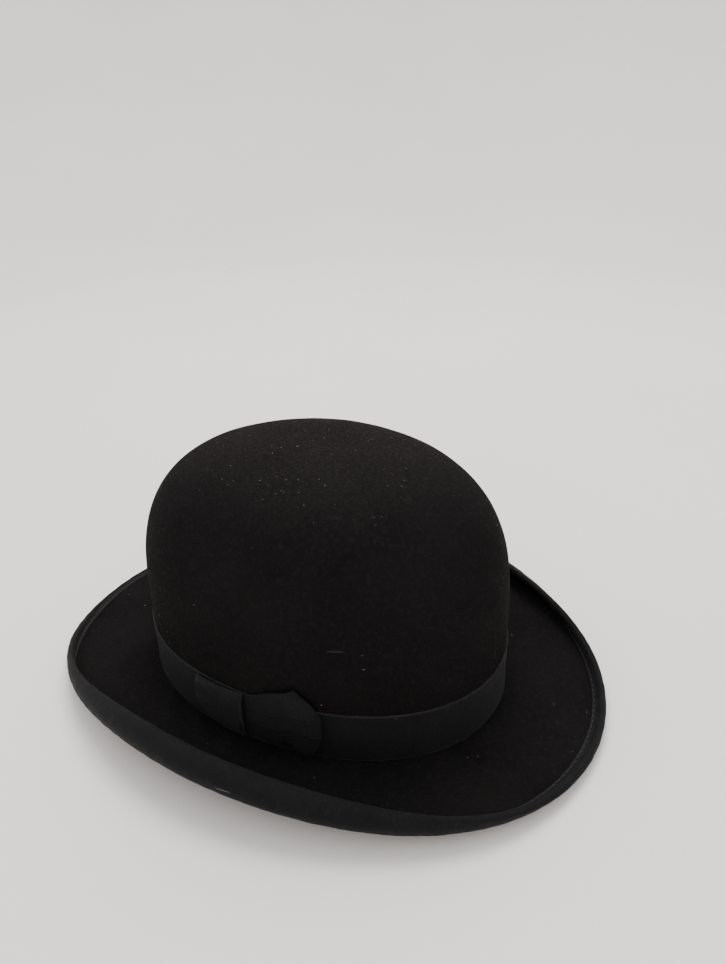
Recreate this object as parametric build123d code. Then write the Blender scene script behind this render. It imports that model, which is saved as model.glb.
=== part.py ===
from build123d import *
import math
import os

# A hard-felt bowler hat, size 57 cm. Millimetres, +Z up, front of the hat towards -Y.
# The origin is the middle of the head oval, on the plane that the hat rests on.
# Places round the hat are plan angles in degrees: 0 is the back, 90 the wearer's left (+X), 180 the front.

os.makedirs("parts", exist_ok=True)

# Crown
CROWN_HALF_WIDTH = 84.6
CROWN_HALF_LENGTH = 103.8
CROWN_HEIGHT = 132.8
WALL_TOP = 46.5            # the wall is upright to here and domed above
DOME_EXPONENT = 2.97       # superellipse exponent of the dome's profile
FELT = 2.4                 # thickness of the stiffened felt
DOME_BOTTOM = 19.0         # the dome and the brim's upstand are joined here, under the band
UPSTAND_TOP = 22.0
UPSTAND_TUCK = 0.15        # the upstand is this much thinner than the dome wall on each face

# Brim, each value as (front, back, side); curled up at the sides, nearly flat front and back
BRIM_WIDTH = (55.1, 52.3, 52.5)       # along the felt, from the crown to the cut edge
BRIM_ROOT_HEIGHT = (4.6, 2.8, 10.2)   # middle of the felt where the brim leaves the crown
BRIM_BEND_HEIGHT = (2.1, 3.3, 17.2)   # middle of the felt where the curl starts
CURL_RADIUS = (2.7, 6.0, 6.0)         # middle of the felt
CURL_ANGLE = (32.0, 52.0, 184.0)      # direction of the cut edge above horizontal
ROOT_LATE = 1.38                      # above 1, a value leaves its end value late
BEND_LATE = 1.52
RADIUS_LATE = 1.46
ANGLE_EARLY = 1.8                     # above 1, a value reaches its side value early
ROOT_FILLET = 0.8                     # radius in the corner between crown and brim, on top

# Trimmings outside
GAP = 0.2                  # air between layers that touch on the real hat
RIBBON = 0.5               # thickness of the grosgrain
BINDING_UNDER = 12.5       # width of the binding under the brim edge
BINDING_OVER = 6.0         # width of the binding on top of the brim edge
BAND_WIDTH = 26.5
BAND_LIFT = 0.2            # band's lower edge above the corner between crown and brim
THREAD = 0.2               # radius of sewing thread
THREAD_GAP = 0.12          # air between a stitch and the cloth it lies on
STITCH = 2.4               # length of one stitch
BINDING_STITCHES = 120
SWEATBAND_STITCHES = 90
LINING_STITCHES = 60

# Bow on the left side; arc lengths along the crown from the middle of the side, + towards the back
KNOT_START = -14.0
KNOT_END = 15.0
KNOT_BOTTOM = 12.2
KNOT_TOP = 37.6
KNOT_CORNER = 14.0         # the lower edge is rounded up this much at the front
KNOT_THICKNESS = 1.2
KNOT_GAP = 0.3             # between the knot and the layers that come out behind it
LOOP_END = 51.0
LOOP_END_BOTTOM = 10.0
LOOP_END_TOP = 49.0
LOOP_STAND_OFF = 5.5       # how far the loop's open end stands off the band
LOOP_THICKNESS = 1.0
TAIL_END = 42.0
TAIL_INSET = 1.0           # the tail is narrower than the knot by this on each edge
TAIL_FLARE = 5.0           # its top edge rises this much to its end

# Inside
LINING = 0.5
LINING_BOTTOM = 34.0
LINING_SEAM = 104.0        # height of the seam between the lining's side and its tip
LINING_THREAD_GAP = 0.3
LEATHER = 1.1
SWEATBAND_WIDTH = 48.0
SWEATBAND_LEAN = 1.0       # the free top edge leans in this much
SWEATBAND_OUTER = 3.2      # leather's outer face, inside the crown's outer face
REED_RADIUS = 0.65
REED_GAP = 0.3             # between the reed and the leather's lower edge
TAPE = 0.25
TAPE_OUTER = 2.7           # reed tape's outer face, inside the crown's outer face
TAPE_UPSTAND = 7.0
TAPE_TURN_UP = 2.2         # height of the tape in front of the leather
BACK_GAP_ANGLE = 0.25      # half the opening between the sweatband's ends
ZIGZAGS = 14               # stitches across the back join
ZIGZAG_REACH = 1.6         # each way from the join
ZIGZAG_MARGIN = 4.0        # bare leather below and above the zigzag
BACK_BOW_HEIGHT = 9.0      # middle of the small bow above the leather's lower edge
BACK_BOW_STAND_OFF = 2.2   # its middle, in from the leather
BACK_BOW_LOOP = (9.0, 1.6, 6.4)    # length, thickness and height of one loop
BACK_BOW_KNOT = (3.4, 2.0, 4.0)
TICKET = (0.2, 16.0, 10.0)         # thickness, width and height
TICKET_GAP = 0.45          # between the ticket and the lining
TICKET_SHOWS = 4.0         # height of it above the sweatband's top edge

SECTION_STEP = 15          # degrees between lofted sections
BINDING_STEP = 4           # degrees between the binding's sections, which straight strips join
ROUNDING = 1e-9            # slack in comparisons of distances along a path
OVER_POINTS = 9            # points across the binding's faces
UNDER_POINTS = 15
ROUND_PIECES = 6           # pieces that a round stretch of a section is sampled in
DOME_PIECES = 18           # pieces that the dome's profile is sampled in


# --- places round the hat ---------------------------------------------------------------

def oval_point(angle, outward, height):
    """Point at a plan angle, a distance outside the crown's outer oval, at a height."""
    turn = math.radians(angle)
    across = math.sin(turn) / CROWN_HALF_WIDTH
    along = math.cos(turn) / CROWN_HALF_LENGTH
    size = math.hypot(across, along)
    x = CROWN_HALF_WIDTH * math.sin(turn) + outward * across / size
    y = CROWN_HALF_LENGTH * math.cos(turn) + outward * along / size
    return Vector(x, y, height)


def angle_at_arc(arc):
    """Plan angle at an arc length along the crown from the middle of its left side."""
    steps = 60
    angle = 90.0
    for _ in range(steps):
        turn = math.radians(angle)
        speed = math.hypot(CROWN_HALF_WIDTH * math.cos(turn), CROWN_HALF_LENGTH * math.sin(turn))
        angle -= math.degrees(arc / steps / speed)
    return angle


def round_the_brim(values, angle, late=1.0, early=1.0):
    """Value at a plan angle of something given at the front, the back and the sides."""
    front, back, side = values
    turn = math.radians(angle)
    end = back if math.cos(turn) > 0 else front
    swing = 1 - (1 - (math.sin(turn) ** 2) ** late) ** early
    return end + (side - end) * swing


def root_height(angle):
    return round_the_brim(BRIM_ROOT_HEIGHT, angle, ROOT_LATE)


# --- the felt's middle line in a radial section -----------------------------------------
# A path of straight and round stretches: down the crown wall, round the corner, out along
# the brim and up round the curl. Outward and up are the section's two directions.

def brim_path(angle):
    """Stretches of the felt's middle line as (start, heading in radians, length, radius or None)."""
    half = FELT / 2
    root = root_height(angle)
    bend = round_the_brim(BRIM_BEND_HEIGHT, angle, BEND_LATE)
    radius = round_the_brim(CURL_RADIUS, angle, RADIUS_LATE)
    width = round_the_brim(BRIM_WIDTH, angle)
    edge_heading = math.radians(round_the_brim(CURL_ANGLE, angle, early=ANGLE_EARLY))
    corner = ROOT_FILLET + half

    slope = 0.0
    for _ in range(8):
        flat = width - radius * (edge_heading - slope)
        slope = math.asin((bend - root) / flat)

    centre_up = root + half + ROOT_FILLET
    wall = (Vector(-half, UPSTAND_TOP), -math.pi / 2, UPSTAND_TOP - centre_up, None)
    turn = slope + math.pi / 2
    fillet = (Vector(-half, centre_up), -math.pi / 2, corner * turn, corner)
    leaves = Vector(ROOT_FILLET + corner * math.sin(slope), centre_up - corner * math.cos(slope))
    brim = (leaves, slope, flat - leaves.X, None)
    bend_at = leaves + Vector(math.cos(slope), math.sin(slope)) * (flat - leaves.X)
    curl = (bend_at, slope, radius * (edge_heading - slope), radius)
    return [wall, fillet, brim, curl]


def on_path(path, distance, offset):
    """Point and length along a path, moved sideways by an offset (+ is the outside or top face)."""
    for start, heading, length, radius in path:
        if distance <= length + ROUNDING or start is path[-1][0]:
            break
        distance -= length
    if radius is None:
        point = start + Vector(math.cos(heading), math.sin(heading)) * distance
    else:
        centre = start + Vector(-math.sin(heading), math.cos(heading)) * radius
        heading += distance / radius
        point = centre + Vector(math.sin(heading), -math.cos(heading)) * radius
    return point + Vector(-math.sin(heading), math.cos(heading)) * offset


def path_length(path):
    return sum(stretch[2] for stretch in path)


def beside_edge(angle, back, offset):
    """Point at a distance back from the felt's cut edge, moved off its middle line by an offset."""
    path = brim_path(angle)
    spot = on_path(path, path_length(path) - back, offset)
    return oval_point(angle, spot.X, spot.Y)


def along_path(angle, first, last, offset, count):
    """Points along the felt between two distances back from its cut edge."""
    return [beside_edge(angle, first + (last - first) * step / (count - 1), offset) for step in range(count)]


def felt_face(angle, offset):
    """Runs along one face of the felt from the top of the upstand to the cut edge."""
    path = brim_path(angle)
    runs = []
    done = 0.0
    for _, _, length, radius in path:
        pieces = 1 if radius is None else ROUND_PIECES
        spots = [on_path(path, done + length * step / pieces, offset) for step in range(pieces + 1)]
        runs.append([oval_point(angle, spot.X, spot.Y) for spot in spots])
        done += length
    return runs


# --- solids from sections ---------------------------------------------------------------

def closed_wire(runs):
    """Closed wire through runs of points; a run of two is straight, a longer one is smooth."""
    edges = []
    for run in runs:
        edges.append(Line(*run) if len(run) == 2 else Spline(*run))
    return Wire(edges)


def straight_runs(corners):
    """Straight runs round a list of corners."""
    return [list(pair) for pair in zip(corners, corners[1:] + corners[:1])]


def ring(section, first_angle=0.0, step=SECTION_STEP, ruled=False):
    """Ring round the hat, lofted through sections down its left half and mirrored."""
    count = 180 // step
    angles = [first_angle + (180 - first_angle) * number / count for number in range(count + 1)]
    half = Solid.make_loft([closed_wire(section(angle)) for angle in angles], ruled)
    return half + mirror(half, about=Plane.YZ)


def dome(inset, bottom):
    """Solid crown shape, a distance inside the crown's outer face, down to a height."""
    width = CROWN_HALF_WIDTH - inset
    length = CROWN_HALF_LENGTH - inset
    rise = CROWN_HEIGHT - inset - WALL_TOP
    profile = []
    for step in range(DOME_PIECES):
        turn = math.pi / 2 * step / DOME_PIECES
        out = math.cos(turn) ** (2 / DOME_EXPONENT)
        up = math.sin(turn) ** (2 / DOME_EXPONENT)
        profile.append((width * out, WALL_TOP + rise * up))
    profile.append((0, CROWN_HEIGHT - inset))
    edge = Spline(*profile, tangents=((0, 1), (-1, 0)))
    lower = Polyline((0, CROWN_HEIGHT - inset), (0, bottom), (width, bottom), (width, WALL_TOP))
    outline = Plane.XZ * make_face(Curve() + [edge, lower])
    return scale(revolve(outline, Axis.Z), by=(1, length / width, 1))


def stitch(middle, direction, length=STITCH, radius=THREAD):
    """One thread float lying along a direction."""
    along = direction.normalized()
    return Solid.make_cylinder(radius, length, Plane(middle - along * length / 2, z_dir=along))


def stitch_round(place, count, first=0.0, last=360.0):
    """Stitches in a row round the hat; place gives the point at each plan angle."""
    stitches = []
    for step in range(count):
        angle = first + (last - first) * step / count
        before = place(angle - 0.5)
        after = place(angle + 0.5)
        stitches.append(stitch((before + after) / 2, after - before))
    return stitches


# --- felt body --------------------------------------------------------------------------

def felt_section(angle):
    half = FELT / 2 - UPSTAND_TUCK
    outer = felt_face(angle, half)
    inner = [run[::-1] for run in felt_face(angle, -half)[::-1]]
    edge = [outer[-1][-1], inner[0][0]]
    top = [inner[-1][-1], outer[0][0]]
    return outer + [edge] + inner + [top]


def felt_body():
    shell = dome(0, DOME_BOTTOM) - dome(FELT, DOME_BOTTOM - 1)
    return shell + ring(felt_section)


# --- binding, band and bow --------------------------------------------------------------

def binding_section(angle):
    face = FELT / 2 + GAP
    far = face + RIBBON
    over = along_path(angle, BINDING_OVER, 0, far, OVER_POINTS)
    under = along_path(angle, 0, BINDING_UNDER, -far, UNDER_POINTS)
    under_inside = along_path(angle, BINDING_UNDER, 0, -face, UNDER_POINTS)
    over_inside = along_path(angle, 0, BINDING_OVER, face, OVER_POINTS)
    tip = beside_edge(angle, -RIBBON - GAP, 0)
    tip_inside = beside_edge(angle, -GAP, 0)
    return [
        over,
        [over[-1], tip, under[0]],
        under,
        [under[-1], under_inside[0]],
        under_inside,
        [under_inside[-1], tip_inside, over_inside[0]],
        over_inside,
        [over_inside[-1], over[0]],
    ]


def binding_stitches():
    inset = 1.2
    lie = FELT / 2 + GAP + RIBBON + THREAD + THREAD_GAP
    return stitch_round(lambda angle: beside_edge(angle, BINDING_OVER - inset, lie), BINDING_STITCHES)


def band_bottom(angle):
    return root_height(angle) + FELT / 2 + ROOT_FILLET + BAND_LIFT


def band_section(angle):
    low = band_bottom(angle)
    high = low + BAND_WIDTH
    near = GAP
    far = GAP + RIBBON
    return straight_runs([oval_point(angle, out, up) for out, up in
                          ((near, low), (far, low), (far, high), (near, high))])


def tack(lie, angle, height):
    """One stitch round the crown at a plan angle; height gives its height at each plan angle."""
    return stitch_round(lambda a: oval_point(a, lie, height(a)), 1, angle)[0]


def band_tacks():
    """Single stitches that hold the band, a few plan angles along each edge."""
    lie = GAP + RIBBON + THREAD + THREAD_GAP
    inset = 1.5
    low = [tack(lie, angle, lambda a: band_bottom(a) + inset) for angle in (20, 140, 220, 340)]
    high = [tack(lie, angle, lambda a: band_bottom(a) + BAND_WIDTH - inset)
            for angle in (40, 180, 270, 320)]
    return low + high


def patch(start, end, sides, sections=5):
    """Ribbon patch on the crown between two arcs; sides gives its four corners at a share of the way."""
    wires = []
    for step in range(sections):
        share = step / (sections - 1)
        angle = angle_at_arc(start + (end - start) * share)
        wires.append(closed_wire(straight_runs([oval_point(angle, out, up) for out, up in sides(share)])))
    return Solid.make_loft(wires)


def upright(bottom, top, near, far):
    return (near, bottom), (far, bottom), (far, top), (near, top)


BAND_FACE = 2 * GAP + RIBBON


def knot_bottom(share):
    return KNOT_BOTTOM + KNOT_CORNER * (1 - share) ** 3


def bow_knot():
    near = BAND_FACE
    far = near + KNOT_THICKNESS
    return patch(KNOT_START, KNOT_END, lambda share: upright(knot_bottom(share), KNOT_TOP, near, far))


def bow_tail():
    near = BAND_FACE
    far = near + RIBBON
    bottom = KNOT_BOTTOM + TAIL_INSET
    top = KNOT_TOP - TAIL_INSET
    return patch(KNOT_END + KNOT_GAP, TAIL_END,
                 lambda share: upright(bottom, top + TAIL_FLARE * share, near, far))


def bow_loop():
    lowest = BAND_FACE + RIBBON + GAP

    def sides(share):
        near = lowest + LOOP_STAND_OFF * share ** 2
        bottom = KNOT_BOTTOM + (LOOP_END_BOTTOM - KNOT_BOTTOM) * share
        top = KNOT_TOP + (LOOP_END_TOP - KNOT_TOP) * share
        return upright(bottom, top, near, near + LOOP_THICKNESS)

    return patch(KNOT_END + KNOT_GAP, LOOP_END, sides)


def bow_tacks():
    """Single stitches near the corners of the knot."""
    lie = BAND_FACE + KNOT_THICKNESS + THREAD + THREAD_GAP
    inset = 2.0
    tacks = []
    for arc in (KNOT_START + inset, KNOT_END - inset):
        share = (arc - KNOT_START) / (KNOT_END - KNOT_START)
        for height in (knot_bottom(share) + inset, KNOT_TOP - inset):
            tacks.append(tack(lie, angle_at_arc(arc), lambda a: height))
    return tacks


# --- sweatband --------------------------------------------------------------------------

TAPE_MIDDLE = (TAPE_OUTER + SWEATBAND_OUTER + LEATHER + GAP + TAPE) / 2
TAPE_RADIUS = TAPE_MIDDLE - TAPE_OUTER


def reed_height(angle):
    return root_height(angle) + FELT / 2


def sweatband_bottom(angle):
    return reed_height(angle) + REED_RADIUS + REED_GAP


def sweatband_section(angle):
    low = sweatband_bottom(angle)
    high = low + SWEATBAND_WIDTH
    near = SWEATBAND_OUTER
    corners = ((near, low), (near + LEATHER, low), (near + LEATHER + SWEATBAND_LEAN, high),
               (near + SWEATBAND_LEAN, high))
    return straight_runs([oval_point(angle, -inset, up) for inset, up in corners])


def round_run(angle, radius, first, last, count=5):
    """Points round the reed's centre line between two section angles in degrees."""
    points = []
    for step in range(count):
        turn = math.radians(first + (last - first) * step / (count - 1))
        out = -TAPE_MIDDLE + radius * math.cos(turn)
        points.append(oval_point(angle, out, reed_height(angle) + radius * math.sin(turn)))
    return points


def reed_section(angle):
    return [round_run(angle, REED_RADIUS, 0, 180), round_run(angle, REED_RADIUS, 180, 360)]


def tape_section(angle):
    centre = reed_height(angle)
    back_top = centre + TAPE_UPSTAND
    front_top = centre + TAPE_TURN_UP
    outer = round_run(angle, TAPE_RADIUS, 0, -180)
    inner = round_run(angle, TAPE_RADIUS - TAPE, -180, 0)
    back = oval_point(angle, -TAPE_OUTER, back_top)
    back_inside = oval_point(angle, -TAPE_OUTER - TAPE, back_top)
    front = oval_point(angle, -TAPE_MIDDLE - TAPE_RADIUS, front_top)
    front_inside = oval_point(angle, -TAPE_MIDDLE - TAPE_RADIUS + TAPE, front_top)
    return straight_runs([back] + outer + [front, front_inside] + inner + [back_inside])


def sweatband_stitches():
    lie = TAPE_MIDDLE + TAPE_RADIUS + THREAD + THREAD_GAP
    above_reed = 1.4
    return stitch_round(lambda a: oval_point(a, -lie, reed_height(a) + above_reed),
                        SWEATBAND_STITCHES, 3, 357)


def back_seam_stitches():
    """Zigzag across the sweatband's back join, leaning in as the leather does."""
    lie = SWEATBAND_OUTER + LEATHER + THREAD + THREAD_GAP
    bottom = sweatband_bottom(0)
    pitch = (SWEATBAND_WIDTH - 2 * ZIGZAG_MARGIN) / ZIGZAGS
    stitches = []
    for step in range(ZIGZAGS):
        above = ZIGZAG_MARGIN + pitch * (step + 0.5)
        lean = SWEATBAND_LEAN * (above + pitch) / SWEATBAND_WIDTH
        middle = Vector(0, CROWN_HALF_LENGTH - lie - lean, bottom + above)
        rise = pitch / 3 * (1 if step % 2 else -1)
        stitches.append(stitch(middle, Vector(ZIGZAG_REACH, 0, rise), 2 * ZIGZAG_REACH))
    return stitches


def sweatband_bow():
    """Small ribbon bow on the sweatband's back join: two flat loops and a knot, one folded piece."""
    inset = SWEATBAND_OUTER + LEATHER + BACK_BOW_STAND_OFF
    middle = Vector(0, CROWN_HALF_LENGTH - inset, sweatband_bottom(0) + BACK_BOW_HEIGHT)
    bow = Pos(middle) * Box(*BACK_BOW_KNOT)
    for side in (-1, 1):
        bow += Pos(middle + Vector(side * BACK_BOW_LOOP[0] / 2, 0, 0)) * Box(*BACK_BOW_LOOP)
    return bow


# --- lining -----------------------------------------------------------------------------

LINING_OUTER = FELT + GAP


def lining_shell():
    return dome(LINING_OUTER, LINING_BOTTOM) - dome(LINING_OUTER + LINING, LINING_BOTTOM - 1)


def lining_side():
    return split(lining_shell(), bisect_by=Plane.XY.offset(LINING_SEAM - GAP / 2), keep=Keep.BOTTOM)


def lining_tip():
    return split(lining_shell(), bisect_by=Plane.XY.offset(LINING_SEAM + GAP / 2), keep=Keep.TOP)


def dome_share(height, inset):
    """Size of the oval of an inset dome at a height, as a share of its size at the wall."""
    share = (height - WALL_TOP) / (CROWN_HEIGHT - inset - WALL_TOP)
    return (1 - share ** DOME_EXPONENT) ** (1 / DOME_EXPONENT)


def lining_seam():
    """Stitches across the seam between the lining's side and its tip, on its inner face."""
    inset = LINING_OUTER + LINING + THREAD + LINING_THREAD_GAP
    shrink = dome_share(LINING_SEAM, inset)
    width = (CROWN_HALF_WIDTH - inset) * shrink
    length = (CROWN_HALF_LENGTH - inset) * shrink

    def place(angle):
        turn = math.radians(angle)
        return Vector(width * math.sin(turn), length * math.cos(turn), LINING_SEAM)

    return stitch_round(place, LINING_STITCHES)


def size_ticket():
    """Blank paper ticket tucked between the sweatband and the lining, showing above the sweatband."""
    thick, _, tall = TICKET
    inset = LINING_OUTER + LINING + TICKET_GAP + thick / 2
    middle = sweatband_bottom(90) + SWEATBAND_WIDTH + TICKET_SHOWS - tall / 2
    return Pos(CROWN_HALF_WIDTH - inset, 0, middle) * Box(*TICKET)


# --- write one file per piece -----------------------------------------------------------

PIECES = {
    "felt_body": felt_body(),
    "brim_binding": ring(binding_section, step=BINDING_STEP, ruled=True),
    "binding_stitches": binding_stitches(),
    "hat_band": ring(band_section),
    "band_tacks": band_tacks(),
    "bow_knot": bow_knot(),
    "bow_tail": bow_tail(),
    "bow_loop": bow_loop(),
    "bow_tacks": bow_tacks(),
    "sweatband": ring(sweatband_section, BACK_GAP_ANGLE),
    "sweatband_reed": ring(reed_section),
    "reed_tape": ring(tape_section),
    "sweatband_stitches": sweatband_stitches(),
    "back_seam_stitches": back_seam_stitches(),
    "sweatband_bow": sweatband_bow(),
    "lining_side": lining_side(),
    "lining_tip": lining_tip(),
    "lining_seam": lining_seam(),
    "size_ticket": size_ticket(),
}

for name, piece in PIECES.items():
    whole = Compound(children=piece) if isinstance(piece, list) else piece
    export_step(whole, f"parts/{name}.step")
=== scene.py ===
import math
import bpy
import numpy as np
from mathutils import Matrix, Vector


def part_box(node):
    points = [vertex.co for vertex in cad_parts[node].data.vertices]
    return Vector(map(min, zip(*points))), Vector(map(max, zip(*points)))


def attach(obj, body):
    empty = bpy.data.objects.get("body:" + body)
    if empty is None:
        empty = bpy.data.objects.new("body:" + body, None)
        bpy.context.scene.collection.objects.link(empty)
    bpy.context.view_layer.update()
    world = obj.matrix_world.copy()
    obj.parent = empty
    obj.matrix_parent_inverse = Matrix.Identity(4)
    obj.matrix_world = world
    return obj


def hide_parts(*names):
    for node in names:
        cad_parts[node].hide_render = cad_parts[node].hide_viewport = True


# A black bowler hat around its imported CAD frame. Metres, +Z up, front towards -Y, bow on +X.
# Plan angles run from the back (+Y) round by the wearer's left (+X) to the front.

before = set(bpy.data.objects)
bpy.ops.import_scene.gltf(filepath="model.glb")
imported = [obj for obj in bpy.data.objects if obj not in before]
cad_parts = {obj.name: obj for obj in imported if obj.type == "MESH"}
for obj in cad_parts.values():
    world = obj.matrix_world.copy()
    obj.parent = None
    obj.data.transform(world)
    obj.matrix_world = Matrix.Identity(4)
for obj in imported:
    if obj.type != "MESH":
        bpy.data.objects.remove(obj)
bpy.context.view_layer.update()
MM = 0.001

# --- sizes ---
# The crown's oval, the heights and the places of small pieces come from the frame's boxes.

BAND_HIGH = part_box("hat_band")[1]
BAND_OUT = 0.7 * MM  # band's outer face outside the crown
RIBBON = 0.5 * MM  # thickness of the grosgrain
HALF_WIDTH = BAND_HIGH.x - BAND_OUT  # crown's outer oval
HALF_LENGTH = BAND_HIGH.y - BAND_OUT
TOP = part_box("felt_body")[1].z
SEAM_HEIGHT = sum(corner.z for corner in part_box("lining_seam")) / 2
WALL_TOP = 46.5 * MM
DOME_EXPONENT = 2.97
FELT = 2.4 * MM
HALF_FELT = FELT / 2

# Brim, each as (front, back, side). Late and early say how the swing from end to side value is timed.
BRIM_WIDTH = (55.1 * MM, 52.3 * MM, 52.5 * MM)
BRIM_ROOT = (4.6 * MM, 2.8 * MM, 10.2 * MM)
BRIM_BEND = (2.1 * MM, 3.3 * MM, 17.2 * MM)
CURL_RADIUS = (2.7 * MM, 6.0 * MM, 6.0 * MM)
CURL_ANGLE = (math.radians(32), math.radians(52), math.radians(184))
ROOT_LATE = 1.38
BEND_LATE = 1.52
RADIUS_LATE = 1.46
ANGLE_EARLY = 1.8
ROOT_FILLET = 0.8 * MM
WALL_LOW = 22.0 * MM  # the brim's section path starts here on the wall

BINDING_UNDER = 12.5 * MM
BINDING_OVER = 6.0 * MM
BAND_WIDTH = 26.5 * MM
AIR = 0.12 * MM  # between layers that touch on the real hat
THREAD = 0.14 * MM  # radius of sewing thread
BINDING_STITCHES = 230
SWEATBAND_STITCHES = 150
LINING_STITCHES = 150

# Pale place low on the binding's outer face: centre, direction, half length and half height
BINDING_PALE_SPOT = ((121.7 * MM, 33.7 * MM, 22.3 * MM), (-0.23, 0.97, -0.04), 4.5 * MM, 0.32 * MM)

# Dust and a painted highlight on the crown's top thicken between these heights
DUST_AND_HIGHLIGHT_LOW = 114.0 * MM
DUST_AND_HIGHLIGHT_HIGH = 133.0 * MM

# Rubbed line low on the crown: arcs of its ends, height, half length and half width
RUBBED_ARCS = (57.0 * MM, 65.0 * MM)
RUBBED_HEIGHT = 70.5 * MM
RUBBED_REACH = 5.0 * MM
RUBBED_WIDTH = 0.6 * MM

# Bow: arcs run from the middle of the left side, + towards the back. Heights are above the rest plane.
KNOT_END = 15.0 * MM
KNOT_LENGTH = 29.0 * MM
KNOT_BOTTOM = 14.4 * MM
KNOT_TOP = 39.2 * MM
KNOT_CORNER = 14.0 * MM  # the lower edge is rounded up this much at the front
KNOT_STAND_OFF = (4.4 * MM, 2.0 * MM)  # outside the band, at the front and behind
KNOT_THICKNESS = 0.6 * MM
FAN_START = 13.6 * MM
FAN_BOTTOM = 15.0 * MM
FAN_TOP = 36.8 * MM
FAN_FLARE = 12.2 * MM  # its top edge rises this much
FAN_DROP = 5.4 * MM  # its lower corner hangs this much
FAN_HOLLOW = 4.0 * MM  # its lower edge arches this much before the corner
FAN_LIFT = 5.0 * MM  # how far it stands off the band
FAN_THICKNESS = 0.7 * MM
FAN_PLEATS = ((0.72, 1.3), (0.43, 1.1))  # share of the height and depth in millimetres
TAIL_START = 15.3 * MM
TAIL_LENGTH = 27.0 * MM
TAIL_BOTTOM = 13.6 * MM
TAIL_TOP = 34.6 * MM
TAIL_THICKNESS = 0.35 * MM

# Inside, as distances in from the crown's outer face
SWEATBAND_OUTER = 3.2 * MM
LEATHER = 1.1 * MM
SWEATBAND_LEAN = 1.0 * MM
SWEATBAND_WIDTH = 48.0 * MM
REED_RADIUS = 0.65 * MM
REED_GAP = 0.3 * MM
TAPE = 0.25 * MM
TAPE_OUTER = 2.7 * MM
TAPE_UPSTAND = 7.0 * MM
TAPE_TURN_UP = 2.2 * MM
TAPE_MIDDLE = (TAPE_OUTER + SWEATBAND_OUTER + LEATHER + 0.2 * MM + TAPE) / 2
TAPE_RADIUS = TAPE_MIDDLE - TAPE_OUTER
BACK_GAP = math.radians(0.25)  # half the opening between the sweatband's ends
LINING_OUTER = FELT + 0.2 * MM
LINING = 0.5 * MM
LINING_BOTTOM = 34.0 * MM
LINING_FOLDS = 44

ROUND = 432  # steps round the hat
ANGLES = np.linspace(0, 2 * math.pi, ROUND, endpoint=False)


# --- mesh helpers ---

def mesh_object(name, points, faces, uv=None, rim=None):
    """Mesh object from points and faces, with (u, v) per face corner and a selvedge distance per point."""
    mesh = bpy.data.meshes.new(name)
    mesh.from_pydata([tuple(p) for p in points], [], [tuple(f) for f in faces])
    if uv is not None:
        layer = mesh.uv_layers.new(name="cloth")
        layer.data.foreach_set("uv", np.asarray(uv, np.float32).ravel())
    if rim is not None:
        layer = mesh.attributes.new("rim", "FLOAT", "POINT")
        layer.data.foreach_set("value", np.asarray(rim, np.float32).ravel())
    mesh.polygons.foreach_set("use_smooth", [True] * len(mesh.polygons))
    mesh.update()
    piece = bpy.data.objects.new(name, mesh)
    bpy.context.scene.collection.objects.link(piece)
    return piece


def grid_faces(rows, columns, wrap_rows, wrap_columns):
    """Quads of a grid of rows x columns points, as indices and as grid places of each corner."""
    r = np.arange(rows if wrap_rows else rows - 1)
    c = np.arange(columns if wrap_columns else columns - 1)
    r, c = np.meshgrid(r, c, indexing="ij")
    corners = [(r, c), (r, c + 1), (r + 1, c + 1), (r + 1, c)]
    index = np.stack([(i % rows) * columns + (j % columns) for i, j in corners], -1)
    places = np.stack([np.stack([i, j], -1) for i, j in corners], -2)
    return index.reshape(-1, 4), places.reshape(-1, 4, 2)


def grid_uv(uv, rows, columns, places):
    """(u, v) of each face corner; a wrapped grid reads one more row or column than it has points."""
    wide = np.empty((rows + 1, columns + 1, 2))
    wide[:uv.shape[0], :uv.shape[1]] = uv
    if uv.shape[0] == rows:
        wide[rows] = wide[rows - 1]
    if uv.shape[1] == columns:
        wide[:, columns] = wide[:, columns - 1]
    return wide[places[..., 0], places[..., 1]].reshape(-1, 2)


def grid_object(name, points, uv=None, rim=None, wrap_rows=False, wrap_columns=False, poles=()):
    """Object from a grid of points (rows, columns, 3); poles names end rows (0, -1) closed with a fan."""
    rows, columns = points.shape[:2]
    index, places = grid_faces(rows, columns, wrap_rows, wrap_columns)
    corner_uv = None if uv is None else grid_uv(uv, rows, columns, places)
    faces = [tuple(f) for f in index]
    flat = points.reshape(-1, 3)
    for pole in poles:
        flat = np.vstack([flat, points[pole].mean(0)])
        start = 0 if pole == 0 else (rows - 1) * columns
        for j in range(columns):
            pair = (start + j, start + (j + 1) % columns)
            faces.append((len(flat) - 1, *(pair if pole else pair[::-1])))
    return mesh_object(name, flat, faces, corner_uv, rim)


def joined(name, parts):
    """One object from several (points, faces) shells."""
    points, faces = [], []
    for some_points, some_faces in parts:
        faces += [tuple(np.asarray(f) + len(points)) for f in some_faces]
        points += list(some_points)
    return mesh_object(name, points, faces)


def normals_of(points, wrap_columns):
    """Unit normals of a grid of points by differences along its rows and columns."""
    down = np.gradient(points, axis=0)
    if wrap_columns:
        across = np.roll(points, -1, 1) - np.roll(points, 1, 1)
    else:
        across = np.gradient(points, axis=1)
    normal = np.cross(down, across)
    return normal / np.maximum(np.linalg.norm(normal, axis=-1, keepdims=True), 1e-12)


def arc_lengths(points):
    """Length along the first axis of an array of points, starting at 0."""
    steps = np.linalg.norm(np.diff(points, axis=0), axis=-1)
    return np.concatenate([np.zeros((1,) + steps.shape[1:]), np.cumsum(steps, 0)])


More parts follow.
